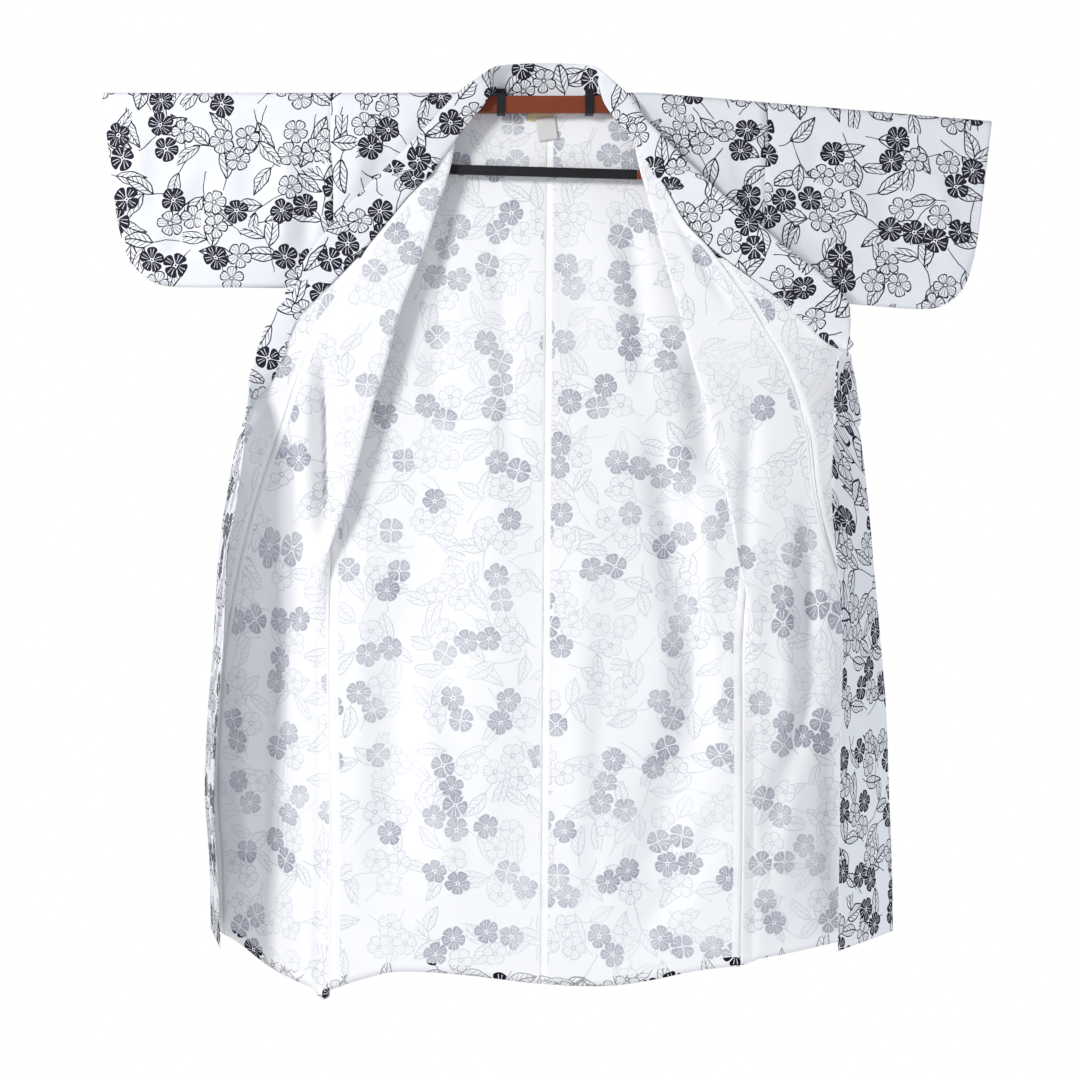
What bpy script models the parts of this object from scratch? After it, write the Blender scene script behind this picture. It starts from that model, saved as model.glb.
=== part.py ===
"""A cotton yukata on a bar hanger, hung with both fronts folded open so that the inside shows.

The cloth is a set of thin walls, one for each piece that is cut and sewn: two backs, two fronts, two okumi
(the strips that lap at the front), two sleeves and the collar, with two labels at the nape. +X is the
wearer's left, +Y goes from the opening to the back, +Z is up. The origin is the middle of the bar's top edge.
Lengths below are in millimetres, and X is measured outwards from the centre line on either side.
"""

import math
from collections import namedtuple

import bpy

MM = 0.001
CLOTH = 1.2  # wall of the cloth
GAP = 0.3  # between pieces that are sewn together
CORNER_GAP = 2.5  # where two walls meet at a sharp angle
FOLD_ROUND = 9.0  # how far from a fold's corner its curve starts

# Body
SHOULDER_Z = 4.5  # middle of the cloth where it lies over the hanger
SHOULDER_Y = 1.0
SHOULDER_ROUND = 10.0  # radius of the fold over the hanger
BACK_Y = 12.0
SLEEVE_SEAM_X = 320.0
NECK_HALF = 88.0
NAPE_Z = -11.0
NAPE_Y = 20.0
CENTRE_TOP_X = 4.0  # the centre back seam wanders a little to one side on its way down
CENTRE_HEM_X = -6.0
FOLD_TURN = 6.0  # half of the width of the turn where a front folds back on itself
FOLD_DEPTH = 4.0

# Hanger
BAR_HALF, BAR_TALL, BAR_THICK = 150.0, 25.0, 8.0
ARM_END, ARM_TALL, ARM_THICK, ARM_TOP = 610.0, 17.0, 5.0, 1.8
DROOP_FROM, DROOP = 152.0, 0.083  # the arm on the +X side slopes down from here by this share
ROD_HALF, ROD_TALL, ROD_THICK, ROD_Z, ROD_SLOPE = 148.0, 14.0, 6.0, -111.0, -0.028
ROD_BLACK = (-141.0, 131.5)  # the black stretch of the rod; its ends are brown
STRUT_X, STRUT_WIDE, STRUT_THICK = 145.0, 7.0, 2.5
CLIP_WIDE, CLIP_WALL, CLIP_TOP = 12.0, 2.0, 12.0
CLIP_X = (-67.0, 62.0)

# Sections of the fronts at falling heights. Each pair is (X, Y) outwards and backwards: the side seam,
# the roll where the front turns back, the okumi seam, the outer fold of the okumi, the seam to the collar
# and the free edge. under and over say which way the cloth leaves the roll: 1 outwards, -1 inwards.
Row = namedtuple("Row", "z side roll under over okumi fold collar free")
LEFT = [
    Row(-38, (320, -9), (122, -12), 1, -1, (104, -12), (104, -12), (104, -12), (140, -20)),
    Row(-93, (320, -9), (155, -13), 1, -1, (137, -14), (137, -14), (137, -14), (191, -21)),
    Row(-122, (320, -9), (166, -13), 1, -1, (146, -14), (146, -14), (146, -14), (223, -21)),
    Row(-137, (320, -9), (154, -13), 1, 0.2, (160, -24), (158, -24), (159, -26), (240, -26)),
    Row(-152, (320, -9), (153, -14), 1, 1, (171, -19), (171, -19), (171, -19), (256, -22)),
    Row(-225, (320, -7), (167, -14), 1, 1, (239, -21), (239, -21), (240, -21), (343, -24)),
    Row(-298, (320, -1), (187, -14), 1, 1, (290, -21), (311, -22), (333, -22), (430, -26)),
    Row(-356, (318, 6), (203, -14), 1, 1, (326, -21), (365, -22), (404, -22), (438, -34)),
    Row(-388, (315, 8), (211, -14), 1, 1, (346, -20), (394, -20), (440, -14), (419, -60)),
    Row(-444, (311, 10), (228, -14), 1, 1, (368, -18), (436, -13), (459, -16), (409, -66)),
    Row(-473, (309, 11), (236, -14), 1, 1, (376, -15), (452, -5), (450, -27), (408, -66)),
    Row(-502, (307, 12), (244, -13), 1, 1, (384, -12), (462, 2), (409, -62), (408, -62)),
    Row(-590, (301, 14), (262, -10), 1, 1, (396, -2), (475, 14), (407, -54), (407, -54)),
    Row(-677, (297, 15), (280, -4), 0.6, 1, (424, 22), (487, 38), (415, -50), (415, -50)),
    Row(-794, (288, 16), (306, 10), -1, 1, (470, 50), (501, 60), (422, -59), (422, -59)),
    Row(-911, (288, 16), (309, 18), -1, 1, (494, 70), (514, 78), (419, -59), (419, -59)),
    Row(-1028, (288, 16), (310, 22), -1, 1, (500, 80), (520, 88), (420, -47), (420, -47)),
    Row(-1144, (287, 16), (310, 24), -1, 1, (506, 86), (526, 94), (420, -38), (420, -38)),
    Row(-1247, (285, 16), (308, 24), -1, 1, (508, 88), (528, 97), (419, -33), (419, -33)),
]
RIGHT = [
    Row(-38, (314, -9), (134, -12), 1, -1, (117, -12), (117, -12), (117, -12), (155, -20)),
    Row(-93, (314, -9), (162, -13), 1, -1, (143, -14), (143, -14), (143, -14), (212, -21)),
    Row(-122, (314, -9), (169, -13), 1, -1, (148, -14), (148, -14), (148, -14), (243, -21)),
    Row(-137, (314, -9), (156, -13), 1, 0, (168, -25), (168, -25), (169, -27), (260, -27)),
    Row(-152, (314, -9), (155, -14), 1, 1, (205, -19), (205, -19), (205, -19), (275, -22)),
    Row(-225, (314, -7), (178, -14), 1, 1, (260, -21), (260, -21), (261, -21), (337, -24)),
    Row(-298, (314, -1), (207, -14), 1, 1, (300, -21), (316, -22), (331, -22), (382, -25)),
    Row(-334, (314, 4), (218, -14), 1, 1, (326, -21), (344, -22), (363, -23), (404, -27)),
    Row(-375, (315, 7), (229, -14), 1, 1, (346, -20), (361, -21), (376, -22), (418, -30)),
    Row(-410, (315, 9), (239, -14), 1, 1, (361, -18), (378, -19), (393, -20), (427, -38)),
    Row(-444, (315, 10), (250, -14), 1, 1, (373, -16), (402, -14), (422, -16), (427, -54)),
    Row(-473, (316, 11), (258, -14), 1, 1, (382, -13), (426, -8), (434, -24), (428, -66)),
    Row(-502, (316, 12), (266, -13), 1, 1, (394, -8), (452, 0), (428, -72), (428, -72)),
    Row(-590, (318, 14), (290, -11), 1, 1, (426, 10), (476, 32), (441, -66), (441, -66)),
    Row(-677, (319, 15), (322, 2), -0.2, 1, (456, 48), (493, 66), (456, -60), (456, -60)),
    Row(-794, (320, 16), (341, 20), -1, 1, (484, 86), (506, 100), (464, -45), (464, -45)),
    Row(-911, (319, 16), (342, 26), -1, 1, (496, 102), (518, 115), (475, -34), (475, -34)),
    Row(-1028, (317, 16), (341, 28), -1, 1, (502, 110), (524, 122), (481, -27), (481, -27)),
    Row(-1144, (316, 16), (340, 28), -1, 1, (496, 114), (518, 127), (476, -22), (476, -22)),
    Row(-1247, (318, 16), (342, 28), -1, 1, (494, 116), (516, 130), (472, -20), (472, -20)),
]
HEIGHTS = (-22, -38, -65, -93, -122, -137, -152, -188, -225, -234, -262, -298, -327, -356, -388, -416)
HEIGHTS += (-444, -473, -502, -546, -590, -633, -677, -735, -794, -880, -970, -1080)
BACK_TOP_STEPS, BACK_HEM_STEPS = 5, 4  # rows eased in from the top edge, and rows spread down to the hem
BACK_HEIGHTS = (-40,) * (BACK_TOP_STEPS + 1) + (-100, -160, -225, -262, -298, -356, -416, -473, -530, -590)
BACK_HEIGHTS += (-650, -720, -794, -870, -950, -1030) + (-1110,) * (BACK_HEM_STEPS + 1)
OKUMI_TOP = -234
COLLAR_END = -480
COLLAR_TIP = 12  # how much lower the free corner of the collar's end is
HEM_STEPS = 3

# The collar round the neck: its seam, its roll or middle, and its free edge, as (X, Y, Z)
Station = namedtuple("Station", "seam roll free")
NECK_LEFT = [
    Station((0, 20, -9.5), (0, 21, 20), (0, 19, 49)),
    Station((28, 19.5, -8), (28, 20, 20), (27, 17, 47)),
    Station((56, 17, -3), (53, 17, 21), (47, 13, 45)),
    Station((72, 13, 1.5), (65, 11, 23), (61, 4, 42)),
    Station((83, 6, 5.5), (73, 1, 24), (76, -8, 36)),
    Station((86, -9, 3), (78, -14, 13), (108, -21, 6)),
    Station((92, -13.5, -14), (88, -17, -15), (128, -21, -14)),
    Station((103, -15, -38), (106, -18, -38), (140, -21, -37)),
    Station((119, -16, -65), (122, -19, -65), (163, -21.5, -64)),
    Station((136, -17, -93), (140, -20, -93), (191, -22, -92)),
    Station((145, -17, -122), (150, -20, -122), (223, -22, -121)),
]
NECK_RIGHT = [
    NECK_LEFT[0],
    NECK_LEFT[1],
    NECK_LEFT[2],
    Station((72, 13, 1.5), (66, 12, 22), (62, 4, 40)),
    Station((83, 6, 5.5), (76, 2, 23), (79, -8, 34)),
    Station((87, -9, 3), (80, -14, 12), (108, -21, 7)),
    Station((97.5, -14.5, -14), (95, -18, -14), (130, -21, -11)),
    Station((116, -15, -38), (119, -18, -38), (155, -21, -36)),
    Station((130, -16, -65), (134, -19, -65), (182, -21.5, -63)),
    Station((142, -17, -93), (147, -20, -93), (212, -22, -91)),
    Station((147, -17, -122), (153, -20, -122), (243, -22, -121)),
]

# Hems: heights along the cut, from the side seam at 0 to the free edge at 1, and across the back by X
FRONT_SHARE = 0.61  # of a front and okumi together, up to the okumi seam
HEM_LEFT = [(0, -1274), (0.35, -1264), (0.61, -1242), (1, -1240)]
HEM_RIGHT = [(0, -1318), (0.15, -1325), (0.3, -1312), (0.45, -1291), (0.61, -1250), (1, -1240)]
HEM_BACK = [(-319, -1316), (-247, -1291), (-207, -1282), (-110, -1287), (-10, -1299), (92, -1303)]
HEM_BACK += [(166, -1294), (225, -1282), (285, -1275)]
BACK_SIDE_Y = [(-1300, 18), (-794, 18), (-590, 16), (-502, 14), (-444, 12), (-356, 9), (-298, 6)]
BACK_SIDE_Y += [(-225, 12), (0, 12)]

# Largest folds: from (x, z) to (x, z), half width, and depth away from the opening
Fold = namedtuple("Fold", "x0 z0 x1 z1 width depth")
BACK_FOLDS = [
    Fold(150, -420, 245, -1060, 26, 16),
    Fold(262, -700, 130, -1250, 42, 14),
    Fold(-60, -260, -100, -1250, 60, -9),
    Fold(-190, -560, -255, -1290, 45, 10),
    Fold(60, -500, 40, -1290, 50, -7),
]
DOOR_FOLDS = {
    1: [Fold(400, -480, 372, -900, 20, 26), Fold(366, -560, 346, -1250, 22, -8)],
    -1: [Fold(332, -330, 338, -640, 14, -9), Fold(410, -640, 420, -1290, 30, 20)],
}

# Sleeves: outline of the lower edge from the armhole to the cuff, as (share along the top, X, Z)
SLEEVE_DEPTH_Y = 1.4  # the two layers at the bottom seam, from the middle
CUFF_TOP = (648, 4.5)
SLEEVE_BOTTOM = [(0, 320, -279), (0.35, 430, -279), (0.74, 556, -277), (0.86, 590, -262), (0.94, 612, -235)]
SLEEVE_BOTTOM += [(1, 624, -195)]

WHITE, LABEL_WHITE, LABEL_CREAM = (0.86, 0.87, 0.9), (0.9, 0.9, 0.88), (0.85, 0.78, 0.6)
BROWN, BLACK = (0.32, 0.07, 0.03), (0.02, 0.02, 0.025)


def smooth(t):
    """Ease from 0 to 1."""
    t = min(1.0, max(0.0, t))
    return t * t * (3 - 2 * t)


def mix(a, b, t):
    """A number or a point between a and b."""
    if isinstance(a, (int, float)):
        return a + (b - a) * t
    return tuple(mix(p, q, t) for p, q in zip(a, b))


def along(table, x):
    """The value at x on a curve through (x, value) pairs, with eased tangents."""
    table = sorted(table)
    if x <= table[0][0]:
        return table[0][1]
    for i in range(len(table) - 1):
        (x0, y0), (x1, y1) = table[i], table[i + 1]
        if x <= x1:
            before = table[max(i - 1, 0)]
            after = table[min(i + 2, len(table) - 1)]
            m0 = (y1 - before[1]) / (x1 - before[0]) * (x1 - x0)
            m1 = (after[1] - y0) / (after[0] - x0) * (x1 - x0)
            t = (x - x0) / (x1 - x0)
            a, b = t * t * (3 - 2 * t), t * (1 - t)
            return y0 + (y1 - y0) * a + m0 * b * (1 - t) - m1 * b * t
    return table[-1][1]


def section(rows, z):
    """The front's section points at height z, as a Row."""
    values = {"z": z}
    for name in Row._fields[1:]:
        if isinstance(getattr(rows[0], name), tuple):
            values[name] = tuple(along([(r.z, getattr(r, name)[k]) for r in rows], z) for k in (0, 1))
        else:
            values[name] = along([(r.z, getattr(r, name)) for r in rows], z)
    return Row(**values)


def fold_depth(folds, x, z):
    """How far the folds push the cloth back at (x, z)."""
    total = 0.0
    for f in folds:
        run = (f.z0 - z) / (f.z0 - f.z1)
        if 0 < run < 1:
            fade = smooth(run * 3) * smooth((1 - run) * 3)
            off = (x - mix(f.x0, f.x1, run)) / f.width
            total += f.depth * fade * math.exp(-off * off)
    return total


def over_shoulder(y, z):
    """Y drawn in to the shoulder fold near the top."""
    down = SHOULDER_Z - z
    if down >= SHOULDER_ROUND:
        return y
    rise = 1 - max(0.0, down) / SHOULDER_ROUND
    return SHOULDER_Y + (y - SHOULDER_Y) * math.sqrt(max(0.0, 1 - rise * rise))


def droop(x, fade):
    """How far the sloping arm lets the cloth down at x."""
    return -max(0.0, x - DROOP_FROM) * DROOP * fade


def bent(start, corner, end):
    """Seven points from start to end round a softened corner."""
    first = mix(corner, start, min(0.5, FOLD_ROUND / math.dist(corner, start)))
    last = mix(corner, end, min(0.5, FOLD_ROUND / math.dist(corner, end)))
    top = mix(mix(first, last, 0.5), corner, 0.5)
    return [start, mix(start, first, 0.5), first, top, last, mix(last, end, 0.5), end]


def material(name, colour, roughness, metallic=0.0):
    """A plain finish of this colour."""
    made = bpy.data.materials.new(name)
    made.use_nodes = True
    shader = made.node_tree.nodes["Principled BSDF"]
    shader.inputs["Base Color"].default_value = (*colour, 1)
    shader.inputs["Roughness"].default_value = roughness
    shader.inputs["Metallic"].default_value = metallic
    made.diffuse_color = (*colour, 1)
    return made


def add_object(name, points, faces, finish):
    """A mesh from points in millimetres."""
    mesh = bpy.data.meshes.new(name)
    mesh.from_pydata([tuple(v * MM for v in p) for p in points], [], faces)
    mesh.materials.append(finish)
    made = bpy.data.objects.new(name, mesh)
    bpy.context.collection.objects.link(made)
    return made


def add_cloth(name, grid, finish, thick=CLOTH, flip=False):
    """A closed wall of cloth round a grid of points: rows from top to bottom, each of equal length."""
    wide = len(grid[0])
    points = [p for row in grid for p in row]
    faces = []
    for i in range(len(grid) - 1):
        for j in range(wide - 1):
            a = i * wide + j
            quad = (a, a + wide, a + wide + 1, a + 1)
            faces.append(quad[::-1] if flip else quad)
    made = add_object(name, points, faces, finish)
    wall = made.modifiers.new("Wall", "SOLIDIFY")
    wall.thickness = thick * MM
    wall.offset = 0
    made.data.shade_smooth()
    return made


def add_block(name, centre, size, finish, slope=0.0):
    """A box with softened edges; slope tips its ends."""
    x, y, z = (s / 2 for s in size)
    corners = [(i * x, j * y, k * z) for i in (-1, 1) for j in (-1, 1) for k in (-1, 1)]
    points = [(centre[0] + p[0], centre[1] + p[1], centre[2] + p[2] + slope * p[0]) for p in corners]
    faces = [(0, 1, 3, 2), (4, 6, 7, 5), (0, 4, 5, 1), (2, 3, 7, 6), (0, 2, 6, 4), (1, 5, 7, 3)]
    made = add_object(name, points, faces, finish)
    edge = made.modifiers.new("Edge", "BEVEL")
    edge.width = min(size) * 0.2 * MM
    edge.segments = 1
    return made


def centre_x(z):
    """Where the centre back seam runs."""
    return mix(CENTRE_TOP_X, CENTRE_HEM_X, -z / 1300)


def neckline_z(x):
    """Top edge of the back."""
    return min(SHOULDER_Z, mix(NAPE_Z, SHOULDER_Z, (x / NECK_HALF) ** 2))


def back_y(x, z, side_x):
    """Y of the back's cloth: the side seam's at its edge, the nape's at the neck, with the folds."""
    edge = smooth((side_x - abs(x)) / 90)
    y = mix(along(BACK_SIDE_Y, z), 15.0 if z < -120 else mix(BACK_Y, 15, -z / 120), edge)
    nape = math.exp(-((x / 75) ** 2)) * smooth((z + 160) / 160)
    return mix(y, NAPE_Y, nape) + edge * fold_depth(BACK_FOLDS, x, z)


def back_point(side, share, step):
    """A point of one back: share runs from the centre seam to the side, step from top to hem."""
    top_x = mix(CENTRE_TOP_X * side, SLEEVE_SEAM_X if side > 0 else 314, share)
    top = neckline_z(top_x) - (CLOTH * 0.35 if top_x < NECK_HALF else 0)
    z = BACK_HEIGHTS[step]
    below = step - len(BACK_HEIGHTS) + 1 + BACK_HEM_STEPS
    if step <= BACK_TOP_STEPS:
        z = mix(top, z, (step / BACK_TOP_STEPS) ** 2)
    elif below > 0:
        z = mix(z, along(HEM_BACK, side * mix(0, 300, share)), below / BACK_HEM_STEPS)
    side_x = section(LEFT if side > 0 else RIGHT, min(z, -38)).side[0] - GAP
    centre = centre_x(z) * side + GAP / 2
    x = mix(centre, side_x, share)
    y = over_shoulder(back_y(side * x, z, side_x), z) + GAP * 1.5
    return side * x, y, z + droop(side * x, 1 - smooth(-z / 150))


def add_back(side, name, finish, columns=9):
    """One back: from the neck and shoulder to the hem."""
    grid = []
    for step in range(len(BACK_HEIGHTS)):
        grid.append([back_point(side, k / columns, step) for k in range(columns + 1)])
    return add_cloth(name, grid, finish, flip=side < 0)


def front_path(rows, z, under=5, over=7):
    """The front's section at height z, from the side seam over the roll to the okumi seam."""
    row = section(rows, min(z, -38))
    turn = (row.under + row.over) / 2 * FOLD_DEPTH
    near = (row.roll[0] + FOLD_TURN * row.under, row.roll[1] + turn)
    far = (row.roll[0] + FOLD_TURN * row.over, row.roll[1] - turn)
    end = row.okumi
    if z > -38:
        end = (mix(row.okumi[0], NECK_HALF, (z + 38) / (38 + SHOULDER_Z)), -12)
        lean = row.roll[0] - end[0] - 3 * FOLD_TURN
        near, far = (near[0] - lean, near[1]), (far[0] - lean, far[1])
        row = row._replace(roll=(row.roll[0] - lean, row.roll[1]))
    path = [mix(row.side, near, k / under) for k in range(under + 1)]
    path.append(row.roll)
    path += [mix(far, end, k / over) for k in range(over + 1)]
    return path


def hem_z(side, share):
    """Height of the hem along the cut of a front and its okumi."""
    return along(HEM_LEFT if side > 0 else HEM_RIGHT, share)


def column_heights(hem):
    """Heights down one column: the shared ones, then steps to its own hem."""
    steps = [mix(HEIGHTS[-1], hem, k / HEM_STEPS) for k in range(1, HEM_STEPS + 1)]
    return [SHOULDER_Z, 3.2, 0.5, -6] + list(HEIGHTS) + steps


def add_front(side, name, finish):
    """One front: down from the shoulder, out over its roll, and open below like a door."""
    rows = LEFT if side > 0 else RIGHT
    wide = len(front_path(rows, -500))
    columns = []
    for k in range(wide):
        column = []
        for z in column_heights(hem_z(side, FRONT_SHARE * k / (wide - 1))):
            x, y = front_path(rows, z)[k]
            if k > 6:
                hold = smooth((k - 6) / 2) * smooth((wide - 1 - k) / 4)
                y += hold * fold_depth(DOOR_FOLDS[side], x, z)
            if z > SHOULDER_Z - SHOULDER_ROUND:
                y = over_shoulder(y, z)
            inset = GAP if k == 0 else 0
            column.append((side * (x - inset), y - GAP * 1.5, z + droop(side * x, 1 - smooth(-z / 150))))
        columns.append(column)
    return add_cloth(name, [list(r) for r in zip(*columns)], finish, flip=side > 0)


def add_okumi(side, name, finish, steps=6):
    """The strip sewn to the front's edge, which folds forward to the free edge."""
    rows = LEFT if side > 0 else RIGHT
    columns = []
    for k in range(steps + 1):
        column = []
        for z in column_heights(hem_z(side, mix(FRONT_SHARE, 1, k / steps))):
            if z > OKUMI_TOP + 0.1:
                continue
            row = section(rows, z)
            end = row.collar if z > COLLAR_END else row.free
            path = bent(row.okumi, row.fold, end)
            start = mix(path[0], path[1], 3 * GAP / max(1.0, math.dist(path[0], path[1])))
            x, y = start if k == 0 else path[k]
            column.append((side * x, y - GAP * 1.5, z))
        columns.append(column)
    return add_cloth(name, [list(r) for r in zip(*columns)], finish, flip=side > 0)


def collar_half(side, steps=4):
    """Rows across the collar from the nape to its end on one side."""
    found = []
    for s in NECK_LEFT if side > 0 else NECK_RIGHT:
        path = [s.seam, mix(s.seam, s.roll, 0.5), s.roll, mix(s.roll, s.free, 0.5), s.free]
        found.append([(side * x, y, z) for x, y, z in path])
    rows = LEFT if side > 0 else RIGHT
    for z in HEIGHTS:
        if COLLAR_END <= z < -122:
            row = section(rows, z)
            reach = max(1.0, math.dist(row.collar, row.free))
            gap = CORNER_GAP if z > -450 else 3 * CORNER_GAP
            start = mix(row.collar, row.free, min(0.3, gap / reach))
            path = [mix(start, row.free, k / steps) for k in range(steps + 1)]
            found.append([(side * x, y - 0.5, z) for x, y in path])
    last = found[-1]
    found.append([(x, y, z - 1 - COLLAR_TIP * k / steps) for k, (x, y, z) in enumerate(last)])
    return found


def add_collar(name, finish):
    """The collar in one length, from one end round the neck to the other."""
    return add_cloth(name, collar_half(-1)[:0:-1] + collar_half(1), finish)


def sleeve_bottom(share):
    """X and Z of the sleeve's lower edge."""
    return tuple(along([(s[0], s[k]) for s in SLEEVE_BOTTOM], share) for k in (1, 2))


def add_sleeve(side, name, finish, columns=9, down=6):
    """A flat sleeve, folded at the top, with its lower seam and round corner closed and its cuff open."""
    seam_x = SLEEVE_SEAM_X if side > 0 else 314
    depths = [0, 0.006, 0.02, 0.05] + [mix(0.05, 1, k / down) for k in range(1, down + 1)]
    loop = [(d, 1) for d in depths[::-1]] + [(d, -1) for d in depths[1:]]
    grid = []
    for k in range(columns + 1):
        share = smooth(k / columns) * 0.3 + k / columns * 0.7
        bottom_x, bottom_z = sleeve_bottom(share)
        shift = (seam_x - SLEEVE_SEAM_X) * (1 - share)
        ring = []
        for depth, face in loop:
            x = mix(mix(SLEEVE_SEAM_X, CUFF_TOP[0], share), bottom_x, depth) + shift + GAP
            z = mix(SHOULDER_Z, bottom_z, depth)
            close = smooth((1 - depth) * 6)
            y = mix(SHOULDER_Y + face * SLEEVE_DEPTH_Y, BACK_Y if face > 0 else -9.0, close)
            ring.append((side * x, over_shoulder(y, z), z + droop(side * x, 1)))
        grid.append(ring)
    return add_cloth(name, grid, finish, flip=side < 0)


def add_label(name, centre, size, tilt, finish, lift):
    """A flat woven label on the inside of the back, laid on its surface."""
    grid = []
    for i in range(3):
        row = []
        for j in range(4):
            u, v = (j / 3 - 0.5) * size[0], (0.5 - i / 2) * size[1]
            x = centre[0] + u * math.cos(tilt) - v * math.sin(tilt)
            z = centre[1] + u * math.sin(tilt) + v * math.cos(tilt)
            row.append((x, back_y(x, z, 320) - CLOTH / 2 - lift, z))
        grid.append(row)
    return add_cloth(name, grid, finish, thick=0.5)


def add_clip(name, x, finish):
    """A moulded clip round the bar with a tab that stands above it."""
    tall, deep = BAR_TALL / 2 + 0.5, BAR_THICK / 2 + 0.5
    outer_tall, outer_deep = tall + CLIP_WALL, deep + CLIP_WALL
    middle = -BAR_TALL / 2
    loops = []
    for half_y, half_z in ((outer_deep, outer_tall), (deep, tall)):
        loops.append([(-half_y, middle - half_z), (half_y, middle - half_z), (half_y, middle + half_z)])
        loops[-1].append((half_y - CLIP_WALL * 1.5, middle + half_z))
        loops[-1].append((-half_y, middle + half_z))
    tab = [(outer_deep, CLIP_TOP), (outer_deep - CLIP_WALL * 1.5, CLIP_TOP)]
    points, faces = [], []
    for end in (-1, 1):
        points += [(x + end * CLIP_WIDE / 2, y, z) for y, z in loops[0] + loops[1] + tab]
    count = len(points) // 2
    for k in range(5):
        n = (k + 1) % 5
        faces.append((k, n, 5 + n, 5 + k))
        faces.append((count + k, count + 5 + k, count + 5 + n, count + n))
        faces.append((5 + k, 5 + n, count + 5 + n, count + 5 + k))
        if k != 2:
            faces.append((k, count + k, count + n, n))
    faces.append((2, 10, 11, 3))
    faces.append((count + 2, count + 3, count + 11, count + 10))
    faces += [(2, count + 2, count + 10, 10), (10, count + 10, count + 11, 11), (11, count + 11, count + 3, 3)]
    return add_object(name, points, [face[::-1] for face in faces], finish)


def add_hanger():
    """The bar, its two arms in the sleeves, two clips, and the lower rod on its struts."""
    brown = material("hanger_brown", BROWN, 0.35)
    black = material("hanger_black", BLACK, 0.45)
    add_block("hanger_bar", (0, 0, -BAR_TALL / 2), (2 * BAR_HALF, BAR_THICK, BAR_TALL), brown)
    start = BAR_HALF + GAP
    length = ARM_END - start
    middle = start + length / 2
    for side, name in ((1, "hanger_arm_left"), (-1, "hanger_arm_right")):
        z = ARM_TOP - ARM_TALL / 2 + droop(side * middle, 1)
        slope = -DROOP if side > 0 else 0
        add_block(name, (side * middle, 0, z), (length, ARM_THICK, ARM_TALL), brown, slope)
    for side, name in ((1, "hanger_strut_left"), (-1, "hanger_strut_right")):
        x = side * STRUT_X
        bottom = ROD_Z + ROD_SLOPE * x - ROD_TALL / 2
        size = (STRUT_WIDE, STRUT_THICK, -2 - bottom)
        y = BAR_THICK / 2 + GAP + STRUT_THICK / 2
        add_block(name, (x, y, (-2 + bottom) / 2), size, brown)
    right, left = ROD_BLACK
    stretches = [("lower_rod_end_right", -ROD_HALF, right - GAP), ("lower_rod", right, left)]
    stretches.append(("lower_rod_end_left", left + GAP, ROD_HALF))
    for name, start, end in stretches:
        x = (start + end) / 2
        inset = 0 if name == "lower_rod" else 0.8
        size = (end - start, ROD_THICK - inset, ROD_TALL - inset)
        add_block(name, (x, 0, ROD_Z + ROD_SLOPE * x), size, brown if inset else black, ROD_SLOPE)
    for x, name in zip(CLIP_X, ("hanger_clip_right", "hanger_clip_left")):
        add_clip(name, x, black)


for old in list(bpy.data.objects):
    bpy.data.objects.remove(old)

cotton = material("cotton_print", WHITE, 0.85)
for direction, word in ((1, "left"), (-1, "right")):
    add_back(direction, f"back_{word}", cotton)
    add_front(direction, f"front_{word}", cotton)
    add_okumi(direction, f"okumi_{word}", cotton)
    add_sleeve(direction, f"sleeve_{word}", cotton)
add_collar("collar", cotton)
add_label("label_brand", (-10, -26), (38, 17), math.radians(-8), material("label_cream", LABEL_CREAM, 0.7), 0.6)
add_label("label_care", (0, -44), (29, 34), math.radians(8), material("label_white", LABEL_WHITE, 0.7), 1.5)
add_hanger()
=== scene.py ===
"""The looks of a cotton yukata on a bar hanger, hung with both fronts folded open so that the inside shows.

The cloth is cut like the real one: two body lengths that pass over the shoulders, two okumi, two sleeves
and a collar. +X is the wearer's left, +Y goes from the opening to the back, +Z is up, and the origin is the
middle of the hanger's bar, on its top edge. Cloth sizes are in millimetres, and X is measured outwards on
either side.
"""

import math
from collections import namedtuple

import bpy
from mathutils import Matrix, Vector, noise


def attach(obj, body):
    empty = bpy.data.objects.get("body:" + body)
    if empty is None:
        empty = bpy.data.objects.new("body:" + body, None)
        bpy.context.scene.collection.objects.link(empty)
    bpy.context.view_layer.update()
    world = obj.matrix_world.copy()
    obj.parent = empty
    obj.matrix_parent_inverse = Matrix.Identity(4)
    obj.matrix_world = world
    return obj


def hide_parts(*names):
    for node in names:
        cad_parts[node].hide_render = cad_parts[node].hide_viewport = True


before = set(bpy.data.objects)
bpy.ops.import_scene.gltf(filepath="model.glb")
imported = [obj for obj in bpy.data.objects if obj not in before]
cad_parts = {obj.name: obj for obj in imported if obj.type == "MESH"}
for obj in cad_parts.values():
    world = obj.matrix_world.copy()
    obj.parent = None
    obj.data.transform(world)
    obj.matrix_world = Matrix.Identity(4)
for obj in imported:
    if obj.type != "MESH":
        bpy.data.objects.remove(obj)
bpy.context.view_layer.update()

MM = 0.001


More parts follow.
